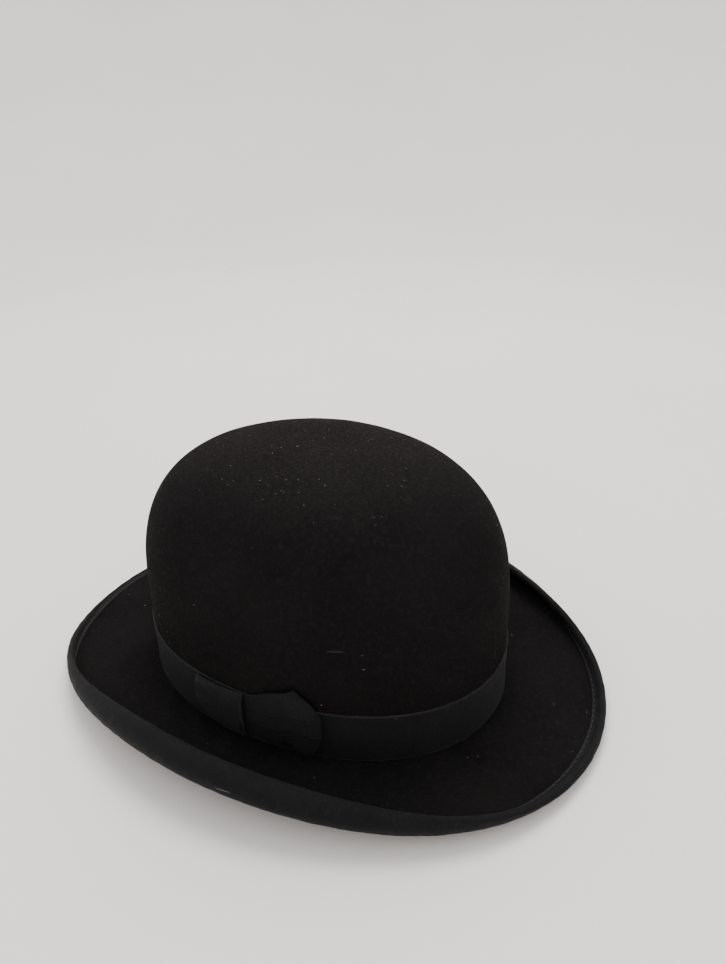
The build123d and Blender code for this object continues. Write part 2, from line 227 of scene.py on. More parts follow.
def ripple(place, size, seed, waves=7):
    """Smooth irregular value near -1..1 at each place, with features of about a size."""
    rng = np.random.default_rng(seed)
    total = np.zeros(place.shape[:-1])
    for _ in range(waves):
        direction = rng.normal(size=3)
        direction *= 2 * math.pi / size * rng.uniform(0.6, 1.5) / np.linalg.norm(direction)
        total += np.sin(place @ direction + rng.uniform(0, 2 * math.pi))
    return total / math.sqrt(waves)


# --- the felt's middle surface ---

def round_the_brim(values, late=1.0, early=1.0, angles=ANGLES):
    """Value at plan angles of something given at the front, the back and the sides."""
    front, back, side = values
    end = np.where(np.cos(angles) > 0, back, front)
    return end + (side - end) * (1 - (1 - (np.sin(angles) ** 2) ** late) ** early)


def root_height(angles=ANGLES):
    return round_the_brim(BRIM_ROOT, ROOT_LATE, angles=angles)


def oval(outward, height, angles=ANGLES):
    """Points at plan angles, a distance outside the crown's outer oval, at a height."""
    sin, cos = np.sin(angles), np.cos(angles)
    across, along = sin / HALF_WIDTH, cos / HALF_LENGTH
    size = np.hypot(across, along)
    x = HALF_WIDTH * sin + outward * across / size
    y = HALF_LENGTH * cos + outward * along / size
    return np.stack([x, y, np.broadcast_to(height, x.shape)], -1)


OUTWARD = oval(1.0, 0.0) - oval(0.0, 0.0)  # level direction away from the crown


def brim_stations():
    """Points and normals of the felt's middle surface from the wall down, out and up to the cut edge."""
    root = root_height()
    bend = round_the_brim(BRIM_BEND, BEND_LATE)
    radius = round_the_brim(CURL_RADIUS, RADIUS_LATE)
    width = round_the_brim(BRIM_WIDTH)
    edge_heading = round_the_brim(CURL_ANGLE, early=ANGLE_EARLY)
    corner = ROOT_FILLET + HALF_FELT
    slope = np.zeros(ROUND)
    for _ in range(8):
        flat = width - radius * (edge_heading - slope)
        slope = np.arcsin((bend - root) / flat)

    centre_up = root + HALF_FELT + ROOT_FILLET
    wall_heading = np.full(ROUND, -math.pi / 2)
    places = []
    for share in np.linspace(0, 1, 10)[:-1]:
        places.append((-HALF_FELT, WALL_LOW + (centre_up - WALL_LOW) * share, wall_heading))
    for share in np.linspace(0, 1, 8)[:-1]:
        heading = wall_heading + (slope - wall_heading) * share
        out, up = ROOT_FILLET + corner * np.sin(heading), centre_up - corner * np.cos(heading)
        places.append((out, up, heading))
    out = ROOT_FILLET + corner * np.sin(slope)
    up = centre_up - corner * np.cos(slope)
    reach = flat - out
    for share in np.linspace(0, 1, 22)[:-1]:
        places.append((out + reach * share * np.cos(slope), up + reach * share * np.sin(slope), slope))
    out = out + reach * np.cos(slope) - radius * np.sin(slope)
    up = up + reach * np.sin(slope) + radius * np.cos(slope)
    for share in np.linspace(0, 1, 30):
        heading = slope + (edge_heading - slope) * share
        places.append((out + radius * np.sin(heading), up - radius * np.cos(heading), heading))

    points, normals = [], []
    for out, up, heading in places:
        points.append(oval(out, up))
        normals.append(OUTWARD * -np.sin(heading)[:, None] + np.array([0, 0, 1]) * np.cos(heading)[:, None])
    return np.stack(points), np.stack(normals)


def dome_face(inset, turns, wall_heights=()):
    """Rows of points on the dome, a distance inside the crown's outer face, from its top to the wall."""
    level = np.cos(turns) ** (2 / DOME_EXPONENT)
    height = WALL_TOP + (TOP - inset - WALL_TOP) * np.sin(turns) ** (2 / DOME_EXPONENT)
    level = np.concatenate([level, np.ones(len(wall_heights))])[:, None]
    height = np.concatenate([height, wall_heights])[:, None]
    return np.stack([level * (HALF_WIDTH - inset) * np.sin(ANGLES),
                     level * (HALF_LENGTH - inset) * np.cos(ANGLES),
                     np.broadcast_to(height, (len(height), ROUND))], -1)


def outward_normals(points):
    """Normals of rows round the dome that point away from the middle of the hat."""
    normals = normals_of(points, True)
    middle = len(points) // 2
    return normals if normals[middle, 0, 1] > 0 else -normals


def dome_stations():
    """Points and normals of the felt's middle surface from near the crown's top to the wall."""
    turns = np.linspace(math.radians(88.5), 0, 64)
    outer = dome_face(0, turns, np.linspace(WALL_TOP, WALL_LOW, 10)[1:-1])
    normals = outward_normals(outer)
    return outer - normals * HALF_FELT, normals


BRIM_MIDDLE, BRIM_NORMAL = brim_stations()
DOME_MIDDLE, DOME_NORMAL = dome_stations()
MIDDLE = np.concatenate([DOME_MIDDLE, BRIM_MIDDLE])
NORMAL = np.concatenate([DOME_NORMAL, BRIM_NORMAL])
FROM_EDGE = arc_lengths(MIDDLE[::-1])[::-1]  # distance along the felt back from the cut edge
PLAN_LENGTH = arc_lengths(np.concatenate([oval(0, 0), oval(0, 0)[:1]]))


def near_edge(back, offset):
    """Points at a distance back from the cut edge and an offset from the felt's middle surface."""
    points = np.empty((ROUND, 3))
    for j in range(ROUND):
        order = FROM_EDGE[::-1, j]
        for axis in range(3):
            points[j, axis] = np.interp(back, order, MIDDLE[::-1, j, axis])
            points[j, axis] += offset * np.interp(back, order, NORMAL[::-1, j, axis])
        if back < 0:
            tangent = MIDDLE[-1, j] - MIDDLE[-2, j]
            points[j] -= back * tangent / np.linalg.norm(tangent)
    return points


def cloth_uv(across, along):
    """(u, v) grid in metres from lengths across the rows and along the columns."""
    return np.stack(np.broadcast_arrays(along[None, :], across[:, None]), -1)


def crown_place(arc, out, up):
    """Points beside the crown at arc lengths from the middle of its left side, + towards the back."""
    turns = np.linspace(math.radians(-40), math.radians(100), 700)
    base = oval(0, 0, math.pi / 2 - turns)
    length = arc_lengths(base)
    length -= np.interp(0, turns, length)
    angle = math.pi / 2 - np.interp(arc, length, turns)
    places = oval(out, 0, angle)
    return np.stack([places[..., 0], places[..., 1], np.broadcast_to(up, angle.shape)], -1)


# --- materials ---

SPOT_DEPTH = 20.0 * MM  # how far a mark on the surface reaches into the hat


class Shader:
    """Small builder of node materials."""

    def __init__(self, name):
        self.material = bpy.data.materials.new(name)
        self.material.use_nodes = True
        self.tree = self.material.node_tree
        self.surface = self.tree.nodes["Principled BSDF"]
        self.place = self.node("ShaderNodeTexCoord").outputs["Object"]

    def node(self, kind, **settings):
        made = self.tree.nodes.new(kind)
        for key, value in settings.items():
            setattr(made, key, value)
        return made

    def put(self, value, socket):
        """Sets a socket to a number or colour, or links another socket to it."""
        if isinstance(value, bpy.types.NodeSocket):
            self.tree.links.new(value, socket)
        elif isinstance(value, tuple) and len(value) == 3 and len(socket.default_value) == 4:
            socket.default_value = (*value, 1.0)
        else:
            socket.default_value = value

    def math(self, operation, first, second=0.0):
        made = self.node("ShaderNodeMath", operation=operation)
        self.put(first, made.inputs[0])
        self.put(second, made.inputs[1])
        return made.outputs[0]

    def cloth(self):
        """The (u, v) of ribbons: metres along and across."""
        split = self.node("ShaderNodeSeparateXYZ")
        self.put(self.node("ShaderNodeTexCoord").outputs["UV"], split.inputs[0])
        return split.outputs["X"], split.outputs["Y"]

    def rim(self):
        """Distance from the nearest selvedge of a ribbon."""
        return self.node("ShaderNodeAttribute", attribute_name="rim").outputs["Fac"]

    def height(self):
        """Height above the rest plane."""
        split = self.node("ShaderNodeSeparateXYZ")
        self.put(self.place, split.inputs[0])
        return split.outputs["Z"]

    def noise(self, scale, detail=2.0, roughness=0.5):
        made = self.node("ShaderNodeTexNoise")
        for name, value in (("Vector", self.place), ("Scale", scale), ("Detail", detail),
                            ("Roughness", roughness)):
            self.put(value, made.inputs[name])
        return made.outputs["Fac"]

    def cells(self, scale):
        """Distance to the nearest of scattered cell centres, and a random value for each cell."""
        made = self.node("ShaderNodeTexVoronoi")
        self.put(self.place, made.inputs["Vector"])
        self.put(scale, made.inputs["Scale"])
        split = self.node("ShaderNodeSeparateColor")
        self.put(made.outputs["Color"], split.inputs[0])
        return made.outputs["Distance"], split.outputs[0]

    def specks(self, scale, share, size):
        """1 on ragged specks, in a share of the cells of a scale."""
        distance, value = self.cells(scale)
        uneven = self.span(self.noise(9 * scale), 0.3, 0.7, -0.6 * size, 0.6 * size)
        inside = self.math("LESS_THAN", self.math("ADD", distance, uneven), size)
        return self.math("MULTIPLY", self.math("LESS_THAN", value, share), inside)

    def spot(self, centre, along, reach, height):
        """1 inside a lying oval on the surface, 0 outside it and on the far side of the hat."""
        away = self.node("ShaderNodeVectorMath", operation="SUBTRACT")
        self.put(self.place, away.inputs[0])
        self.put(tuple(centre), away.inputs[1])
        total = None
        up = (0, 0, 1)
        for axis, size in ((along, reach), (up, height), (np.cross(along, up), SPOT_DEPTH)):
            dot = self.node("ShaderNodeVectorMath", operation="DOT_PRODUCT")
            self.put(away.outputs[0], dot.inputs[0])
            self.put(tuple(np.asarray(axis) / size), dot.inputs[1])
            square = self.math("POWER", self.math("ABSOLUTE", dot.outputs["Value"]), 2.0)
            total = square if total is None else self.math("ADD", total, square)
        return self.span(total, 1.0, 0.3)

    def span(self, value, low, high, new_low=0.0, new_high=1.0):
        made = self.node("ShaderNodeMapRange")
        for number, socket in zip((value, low, high, new_low, new_high), made.inputs):
            self.put(number, socket)
        return made.outputs[0]

    def mix(self, share, first, second):
        made = self.node("ShaderNodeMix", data_type="RGBA")
        for name, value in (("Factor", share), ("A", first), ("B", second)):
            self.put(value, next(i for i in made.inputs if i.enabled and i.name == name))
        return next(o for o in made.outputs if o.enabled)

    def bump(self, height, distance, strength=1.0, under=None):
        made = self.node("ShaderNodeBump")
        for name, value in (("Strength", strength), ("Distance", distance), ("Height", height)):
            self.put(value, made.inputs[name])
        if under is not None:
            self.put(under, made.inputs["Normal"])
        return made.outputs["Normal"]

    def finish(self, **inputs):
        names = {"color": "Base Color", "roughness": "Roughness", "normal": "Normal",
                 "sheen": "Sheen Weight", "sheen_roughness": "Sheen Roughness",
                 "sheen_tint": "Sheen Tint", "specular": "Specular IOR Level"}
        for key, value in inputs.items():
            self.put(value, self.surface.inputs[names[key]])
        return self.material


def tones(color, *factors):
    """The colour times each factor."""
    return [tuple(channel * factor for channel in color) for factor in factors]


def felt_material():
    """Near-black fur felt: matted nap, uneven dye, lint, dust and a painted highlight near the top, and a
    rubbed line.
    """
    s = Shader("felt")
    cloud = s.noise(26, 3, 0.55)
    nap = s.noise(560, 5, 0.75)
    fibre = s.noise(2400, 2, 0.6)
    worn, deep, hair, lint = tones((1.0, 0.93, 0.92), 0.0074, 0.0052, 0.022, 0.13)
    color = s.mix(s.span(cloud, 0.3, 0.7), deep, worn)
    color = s.mix(s.span(nap, 0.5, 0.8, 0.0, 0.5), color, hair)
    # The dust mask below is a painted highlight on the crown's top as well as dust: it paints the felt
    # lighter and warmer where the light from above falls, and raises the sheen there.
    dust_and_highlight_zone = s.span(s.height(), DUST_AND_HIGHLIGHT_LOW, DUST_AND_HIGHLIGHT_HIGH)
    dust = s.math("MULTIPLY", dust_and_highlight_zone, s.span(s.noise(1300, 4, 0.75), 0.52, 0.66, 0.0, 0.5))
    color = s.mix(dust, color, (0.042, 0.034, 0.032))
    start, end = crown_place(np.array(RUBBED_ARCS), 0, RUBBED_HEIGHT)
    heading = (end - start) / np.linalg.norm(end - start)
    line = s.spot((start + end) / 2, heading, RUBBED_REACH, RUBBED_WIDTH)
    rubbed = s.math("MULTIPLY", line, s.span(fibre, 0.35, 0.65, 0.2, 1.0))
    color = s.mix(rubbed, color, tones(lint, 0.25)[0])
    for scale, share, size in ((110, 0.06, 0.045), (300, 0.045, 0.09)):
        color = s.mix(s.specks(scale, share, size), color, lint)
    color = s.mix(s.math("MULTIPLY", dust_and_highlight_zone, s.specks(420, 0.09, 0.13)), color, lint)
    rough = s.bump(nap, 0.45 * MM, 0.8)
    rough = s.bump(fibre, 0.14 * MM, 0.6, rough)
    return s.finish(color=color, roughness=0.95, specular=0.02, normal=rough,
                    sheen=s.math("ADD", s.math("MULTIPLY", dust, 0.12), s.span(nap, 0.48, 0.72, 0.0, 0.05)),
                    sheen_roughness=0.3, sheen_tint=(1.0, 0.88, 0.84))


def grosgrain_material(name, base=(0.0062, 0.0061, 0.0067), pitch=0.9 * MM, pale_spot_place=None):
    """Ribbed silk ribbon: round ribs across its width, fine warp threads and a paler selvedge, a painted
    highlight on its corded edges.
    """
    s = Shader(name)
    along, across = s.cloth()
    rib = s.math("ABSOLUTE", s.math("SINE", s.math("MULTIPLY", along, math.pi / pitch)))
    warp = s.math("SINE", s.math("MULTIPLY", across, 2 * math.pi / (0.28 * MM)))
    uneven = s.noise(60, 3, 0.6)
    dust = s.noise(1300, 4, 0.7)
    dark, light, ridge, rubbed, lint = tones(base, 0.7, 1.3, 1.8, 3.8, 8.0)
    color = s.mix(s.span(uneven, 0.3, 0.7), dark, light)
    color = s.mix(s.math("MULTIPLY", rib, 0.45), color, ridge)
    # The rubbed tone along the selvedges is a painted highlight where the corded edges catch the light.
    edge = s.math("MULTIPLY", s.span(s.rim(), 0.9 * MM, 0.35 * MM), s.span(dust, 0.3, 0.6, 0.35, 0.9))
    color = s.mix(edge, color, rubbed)
    color = s.mix(s.span(dust, 0.56, 0.76, 0.0, 0.5), color, lint)
    # A pale spot on the binding at a given place, far lighter than the ribbon around it.
    if pale_spot_place:
        pale_spot = s.math("MULTIPLY", s.spot(*pale_spot_place), s.span(dust, 0.3, 0.6, 0.4, 1.0))
        color = s.mix(pale_spot, color, tones(base, 24.0)[0])
    normal = s.bump(rib, 0.14 * MM, 0.7)
    normal = s.bump(warp, 0.03 * MM, 0.5, normal)
    normal = s.bump(dust, 0.10 * MM, 0.6, normal)
    return s.finish(color=color, roughness=s.span(uneven, 0.3, 0.7, 0.58, 0.72), specular=0.05,
                    normal=normal, sheen=0.03, sheen_roughness=0.4, sheen_tint=(0.95, 0.97, 1.0))


def leather_material():
    """Brown sweatband leather: fine cell grain, creases and darker wear."""
    s = Shader("leather")
    grain, _ = s.cells(900)
    crease = s.noise(130, 5, 0.65)
    wear = s.noise(22, 3, 0.5)
    color = s.mix(s.span(wear, 0.3, 0.7), (0.13, 0.058, 0.026), (0.25, 0.125, 0.060))
    color = s.mix(s.span(crease, 0.52, 0.7, 0.0, 0.5), color, (0.08, 0.036, 0.016))
    normal = s.bump(grain, 0.12 * MM, 0.5)
    normal = s.bump(crease, 0.3 * MM, 0.4, normal)
    return s.finish(color=color, roughness=s.span(crease, 0.3, 0.7, 0.42, 0.62), normal=normal,
                    specular=0.45)


def satin_material(name, dark, light):
    """Satin: soft creases, fine warp floats and a pale sheen."""
    s = Shader(name)
    crease = s.noise(45, 4, 0.55)
    thread = s.noise(3200, 2, 0.5)
    color = s.mix(s.span(crease, 0.3, 0.7), dark, light)
    normal = s.bump(crease, 0.8 * MM, 0.35)
    normal = s.bump(thread, 0.05 * MM, 0.4, normal)
    return s.finish(color=color, roughness=0.36, normal=normal, sheen=0.3, sheen_roughness=0.3,
                    sheen_tint=(1.0, 0.97, 0.9), specular=0.5)


def fine_material(name, color, scale=4000, depth=0.08 * MM, roughness=0.6):
    """Fine fibrous stuff in one colour, such as twisted thread, cord or paper."""
    s = Shader(name)
    twist = s.noise(scale, 2, 0.5)
    patch = s.noise(90, 3, 0.5)
    shade = s.mix(s.span(twist, 0.3, 0.7), tones(color, 0.6)[0], color)
    shade = s.mix(s.span(patch, 0.45, 0.75, 0.0, 0.4), shade, tones(color, 0.7)[0])
    return s.finish(color=shade, roughness=roughness, normal=s.bump(twist, depth, 0.6), sheen=0.08,
                    specular=0.3)


# --- felt, binding and band ---

def felt_body():
    """Crown and brim in one closed mesh, slightly uneven as blocked felt is."""
    wave = ripple(MIDDLE, 70 * MM, 3) * 0.18 * MM + ripple(MIDDLE, 22 * MM, 4) * 0.05 * MM
    outer = MIDDLE + NORMAL * (HALF_FELT + wave[..., None])
    inner = MIDDLE - NORMAL * (HALF_FELT - wave[..., None])
    tangent = MIDDLE[-1] - MIDDLE[-2]
    tangent /= np.linalg.norm(tangent, axis=-1, keepdims=True)
    edge = []
    for turn in np.linspace(0, math.pi, 7)[1:-1]:
        spot = MIDDLE[-1] + NORMAL[-1] * (HALF_FELT * math.cos(turn))
        edge.append(spot + tangent * (0.5 * HALF_FELT * math.sin(turn)))
    points = np.concatenate([outer, np.stack(edge), inner[::-1]])
    return grid_object("felt_body", points[:, ::-1], wrap_columns=True, poles=(0, -1))


def brim_binding():
    """Grosgrain folded over the brim's edge, a little puckered where it is eased round."""
    near, far = HALF_FELT + AIR, HALF_FELT + AIR + RIBBON
    over = np.linspace(BINDING_OVER, 0, 12)
    under = np.linspace(0, BINDING_UNDER, 18)
    turns = np.linspace(0, math.pi, 9)[1:-1]
    rows = [near_edge(back, far) for back in over]
    rows += [near_edge(-0.75 * far * math.sin(turn), far * math.cos(turn)) for turn in turns]
    rows += [near_edge(back, -far) for back in under]
    shown = len(rows)
    rows += [near_edge(back, -near) for back in under[::-1]]
    rows += [near_edge(-0.6 * near * math.sin(turn), near * math.cos(turn)) for turn in turns[::-1]]
    rows += [near_edge(back, near) for back in over[::-1]]
    points = np.stack(rows)
    pucker = ripple(points, 9 * MM, 11) * 0.07 * MM + ripple(points, 3.2 * MM, 12) * 0.03 * MM
    points[:shown] -= outward_normals(points[:shown]) * pucker[:shown, :, None]
    across = arc_lengths(points).mean(1)
    along = arc_lengths(np.concatenate([points[len(over)], points[len(over)][:1]]))
    half = np.minimum(across[:shown], across[shown - 1] - across[:shown])
    rim = np.concatenate([half, half[::-1]])
    uv = cloth_uv(np.append(across, 0.0), along)
    return grid_object("brim_binding", points, uv, np.broadcast_to(rim[:, None], points.shape[:2]),
                       wrap_rows=True, wrap_columns=True)


def fine_heights(width, *places):
    """Heights up a strip, close together at its edges and near some places."""
    wanted = [np.linspace(0, width, 20)]
    for place in (0, width) + places:
        wanted.append(np.clip(place + np.linspace(-1, 1, 9) * MM, 0, width))
    return np.unique(np.concatenate(wanted).round(9))


def strip_faces(bottom, width, shown, hidden, lean, relief, angles, fine=()):
    """Closed rows round an upright strip: its shown face upwards, then its hidden face downwards."""
    heights = fine_heights(width, *fine)
    side = math.copysign(1, shown - hidden)
    rows = []
    for height in heights:
        edge = min(height, width - height)
        thick = abs(shown - hidden) * (0.6 if edge < 0.1 * MM else 1.0) + relief(height)
        rows.append(oval(hidden + side * thick + lean * height / width, bottom + height, angles))
    for height in heights[::-1]:
        rows.append(oval(hidden + lean * height / width, bottom + height, angles))
    points = np.stack(rows)
    slack = np.abs(ripple(points, 45 * MM, 21) * 0.09 * MM + ripple(points, 12 * MM, 22) * 0.03 * MM)
    outward = oval(1.0, 0.0, angles) - oval(0.0, 0.0, angles)
    points[:len(heights)] += side * outward * slack[:len(heights), :, None]
    return points, heights


def band_bottom(angles=ANGLES):
    return root_height(angles) + HALF_FELT + ROOT_FILLET + 0.2 * MM


def hat_band():
    """Grosgrain band with a cord of selvedge along both edges."""
    def selvedge(height):
        edge = min(height, BAND_WIDTH - height)
        return 0.14 * MM * math.exp(-((edge - 0.3 * MM) / (0.35 * MM)) ** 2)

    points, heights = strip_faces(band_bottom(), BAND_WIDTH, AIR + RIBBON, AIR, 0, selvedge, ANGLES)
    uv = cloth_uv(np.append(arc_lengths(points).mean(1), 0.0), PLAN_LENGTH)
    edge = np.minimum(heights, BAND_WIDTH - heights)
    rim = np.broadcast_to(np.concatenate([edge, edge[::-1]])[:, None], points.shape[:2])
    return grid_object("hat_band", points, uv, rim, wrap_rows=True, wrap_columns=True)


# --- bow on the left side ---

def ribbon_patch(name, arc, out, up, thick=RIBBON):
    """Closed ribbon piece over a grid (rows across the ribbon, columns along it)."""
    face = crown_place(arc, out, up)
    normal = normals_of(face, False)
    if normal[face.shape[0] // 2, face.shape[1] // 2, 0] < 0:
        normal = -normal
    rows, columns = arc.shape
    row_edge = np.minimum(np.arange(rows), np.arange(rows)[::-1])[:, None]
    column_edge = np.minimum(np.arange(columns), np.arange(columns)[::-1])[None, :]
    half = thick / 2 * np.where((row_edge == 0) | (column_edge == 0), 0.35, 1.0)[..., None]
    points = np.concatenate([(face + normal * half).reshape(-1, 3), (face - normal * half).reshape(-1, 3)])
    index, places = grid_faces(rows, columns, False, False)
    count = rows * columns
    faces = [tuple(f) for f in index] + [tuple(f[::-1] + count) for f in index]
    across = arc_lengths(face)
    uv_grid = np.stack([arc_lengths(face.transpose(1, 0, 2)).T, across], -1)
    face_uv = uv_grid[places[..., 0], places[..., 1]]
    uv = [face_uv.reshape(-1, 2), face_uv[:, ::-1].reshape(-1, 2)]
    border = [(0, j) for j in range(columns)] + [(i, columns - 1) for i in range(1, rows)]
    border += [(rows - 1, j) for j in range(columns - 2, -1, -1)]
    border += [(i, 0) for i in range(rows - 2, 0, -1)]
    for (i, j), (k, m) in zip(border, border[1:] + border[:1]):
        first, second = i * columns + j, k * columns + m
        faces.append((second, first, first + count, second + count))
        uv.append(np.array([uv_grid[k, m], uv_grid[i, j], uv_grid[i, j], uv_grid[k, m]]))
    # The rim distance starts 0.62 mm in, so the grosgrain's painted selvedge highlight stays faint on these
    # pieces.
    rim = np.minimum(across, across[-1] - across).ravel() + 0.62 * MM
    return mesh_object(name, points, faces, np.concatenate(uv), np.concatenate([rim, rim]))


def patch_grid(rows, columns):
    """Shares across (bottom to top) and along (front to back) a ribbon piece."""
    return np.meshgrid(np.linspace(0, 1, rows), np.linspace(0, 1, columns), indexing="ij")


def bow_knot():
    """Turn of ribbon round the bow's middle: bulged and rolled under in front, open below, crisp behind."""
    across, along = patch_grid(57, 85)
    along = along ** 1.25
    arc = KNOT_END - KNOT_LENGTH * (1 - along)
    bottom = KNOT_BOTTOM + KNOT_CORNER * (1 - along) ** 3
    top = KNOT_TOP + 0.4 * MM * np.sin(math.pi * along)
    up = bottom + (top - bottom) * across
    front = 1 - np.clip(KNOT_LENGTH * along / (3.0 * MM), 0, 1)
    above = 1 - np.clip((top - up) / (4.0 * MM), 0, 1)
    below = 1 - np.clip((up - bottom) / (2.0 * MM), 0, 1)
    front_stand, back_stand = KNOT_STAND_OFF
    stand = front_stand + (back_stand - front_stand) * along
    stand = stand * np.sqrt(1 - 0.96 * front ** 2) * (1 - 0.6 * above ** 2)
    folds = 0.20 * MM * np.sin(5.2 * across + 4.5 * along) + 0.10 * MM * np.sin(17 * across - 6 * along)
    crease = np.exp(-((along - 0.93) / 0.02) ** 2) * np.clip(1.5 - 3.0 * across, 0, 1)
    lip = 0.35 * MM * np.clip((along - 0.95) / 0.05, 0, 1)
    out = BAND_OUT + 0.35 * MM + stand + folds * (1 - front)
    out = out - 1.2 * MM * crease - 1.4 * MM * below ** 2 + lip
    return ribbon_patch("bow_knot", arc, out, up, KNOT_THICKNESS)


def fan_end(across):
    """Arc length of the fan's rear edge, furthest back in the middle of its height."""
    return (47.5 + 16.4 * across + 8.1 * across ** 2 - 31.0 * across ** 3) * MM


def bow_loop():
    """Pleated fan behind the knot: two folds spread from it, and its rear end bends back to the band."""
    across, along = patch_grid(97, 97)
    along = 1 - (1 - along) ** 1.3
    arc = FAN_START + (fan_end(across) - FAN_START) * along
    hollow = FAN_HOLLOW * np.exp(-((along - 0.70) / 0.14) ** 2)
    bottom = FAN_BOTTOM + hollow - FAN_DROP * np.clip((along - 0.78) / 0.22, 0, 1) ** 1.5
    top = FAN_TOP + FAN_FLARE * (1.25 * along - 0.25 * along ** 3)
    up = bottom + (top - bottom) * across
    bend = np.sqrt(1 - 0.94 * np.clip((along - 0.80) / 0.20, 0, 1) ** 2)
    lift = FAN_LIFT * np.clip(along / 0.85, 0, 1) ** 1.5 * (0.55 + 0.45 * np.sin(math.pi * across)) * bend
    pleats = np.zeros_like(along)
    for middle, deep in FAN_PLEATS:
        step = (across - middle + 0.03 * np.sin(3 * along)) / 0.05
        pleats += deep * np.where(step > 0, np.exp(-0.22 * np.abs(step)), np.exp(-(2.2 * step) ** 2))
    out = BAND_OUT + 0.75 * MM + lift + pleats * np.clip(1.6 * along, 0.15, 1) * bend * MM
    out += 0.12 * MM * np.sin(11 * across + 5 * along) + 0.08 * MM * np.sin(23 * across - 9 * along)
    out -= 0.8 * MM * np.clip((across - 0.92) / 0.08, 0, 1) ** 2 * np.clip(2 * along, 0, 1)
    return ribbon_patch("bow_loop", arc, out, up, FAN_THICKNESS)


def bow_tail():
    """Under layer of the bow, flat on the band."""
    across, along = patch_grid(31, 41)
    arc = TAIL_START + TAIL_LENGTH * along
    bottom = TAIL_BOTTOM - 0.6 * MM * along
    top = TAIL_TOP + 5.0 * MM * along
    up = bottom + (top - bottom) * across
    out = BAND_OUT + 0.32 * MM + 0.06 * MM * np.sin(7 * along + 3 * across)
    return ribbon_patch("bow_tail", arc, out, up, TAIL_THICKNESS)


# --- stitches ---

def stitches(name, places, length, radius=THREAD):
    """Thread floats at (middle, direction, outward): each a capsule whose ends dip into the cloth."""
    sides, rings = 8, 7
    shells = []
    for middle, along, outward in places:
        along = along / np.linalg.norm(along)
        side = np.cross(along, outward)
        points = []
        for step in range(rings):
            turn = math.pi * (step + 0.5) / rings
            across = radius * math.sin(turn) ** 0.6
            dip = radius * (1 - math.sin(turn)) * 0.9
            spot = middle - along * (length / 2) * math.cos(turn) - outward * dip
            for k in range(sides):
                angle = 2 * math.pi * k / sides
                points.append(spot + across * (side * math.cos(angle) + outward * math.sin(angle)))
        index, _ = grid_faces(rings, sides, False, True)
        last = (rings - 1) * sides
        ends = [tuple(range(sides))[::-1], tuple(range(last, last + sides))]
        shells.append((points, [tuple(f[::-1]) for f in index] + [end[::-1] for end in ends]))
    return joined(name, shells)


def row_of_stitches(loop, outward, count):
    """Places for stitches spread evenly along a closed loop of points."""
    closed = np.concatenate([loop, loop[:1]])
    out_closed = np.concatenate([outward, outward[:1]])
    length = arc_lengths(closed)
    found = []
    for step in range(count):
        at = length[-1] * (step + 0.5) / count
        spot, ahead, out = (np.array([np.interp(d, length, line[:, k]) for k in range(3)])
                            for d, line in ((at, closed), (at + 0.5 * MM, closed), (at, out_closed)))
        found.append((spot, ahead - spot, out / np.linalg.norm(out)))
    return found


def binding_stitches():
    lie = HALF_FELT + AIR + RIBBON + 0.10 * MM
    inset = BINDING_OVER - 1.2 * MM
    loop = near_edge(inset, lie)
    outward = near_edge(inset, lie + MM) - loop
    return stitches("binding_stitches", row_of_stitches(loop, outward, BINDING_STITCHES), 2.2 * MM)


def tacks(name, spots, out, length=1.8 * MM):
    """Single stitches along the crown at (plan angle, height) pairs."""
    places = []
    for angle, height in spots:
        pair = oval(out, height, np.array([angle - 0.01, angle + 0.01]))
        outward = oval(1.0, 0.0, np.array([angle]))[0] - oval(0.0, 0.0, np.array([angle]))[0]
        places.append((pair.mean(0), pair[1] - pair[0], outward))
    return stitches(name, places, length)


def band_tacks():
    low = [(a, band_bottom(a) + 1.5 * MM) for a in np.radians((20, 140, 220, 340))]
    high = [(a, band_bottom(a) + BAND_WIDTH - 1.5 * MM) for a in np.radians((40, 180, 270, 320))]
    return tacks("band_tacks", low + high, BAND_OUT + 0.05 * MM)


def bow_tacks():
    spots = []
    for arc, low in ((-10.0 * MM, 26.0 * MM), (13.0 * MM, 14.6 * MM)):
        x, y, _ = crown_place(np.array([arc]), 0, 0)[0]
        angle = math.atan2(x / HALF_WIDTH, y / HALF_LENGTH)
        spots += [(angle, low), (angle, 33.4 * MM)]
    return tacks("bow_tacks", spots, BAND_OUT + 2.55 * MM)


# --- inside ---

def sweatband_bottom(angles=ANGLES):
    return root_height(angles) + HALF_FELT + REED_RADIUS + REED_GAP


def sweatband():
    """Leather strip with a tooled line near its free top edge; its ends meet at the back."""
    line = SWEATBAND_WIDTH - 5 * MM

    def tooling(height):
        groove = -0.28 * MM * math.exp(-((height - line) / (0.35 * MM)) ** 2)
        return groove + 0.10 * MM * math.exp(-((SWEATBAND_WIDTH - height) / (0.8 * MM)) ** 2)

    angles = np.linspace(BACK_GAP, 2 * math.pi - BACK_GAP, ROUND + 1)
    points, _ = strip_faces(sweatband_bottom(angles), SWEATBAND_WIDTH, -SWEATBAND_OUTER - LEATHER,
                            -SWEATBAND_OUTER, -SWEATBAND_LEAN, tooling, angles, (line,))
    piece = grid_object("sweatband", points, wrap_rows=True)
    rows, columns = points.shape[:2]
    start = [row * columns for row in range(rows)]
    close_ends(piece, [start[::-1], [k + columns - 1 for k in start]])
    return piece


def close_ends(piece, rings):
    """Adds a flat face over each ring of point indices."""
    mesh = piece.data
    points = [v.co.copy() for v in mesh.vertices]
    faces = [tuple(p.vertices) for p in mesh.polygons] + [tuple(ring) for ring in rings]
    mesh.clear_geometry()
    mesh.from_pydata(points, [], faces)
    mesh.polygons.foreach_set("use_smooth", [True] * len(mesh.polygons))
    mesh.update()


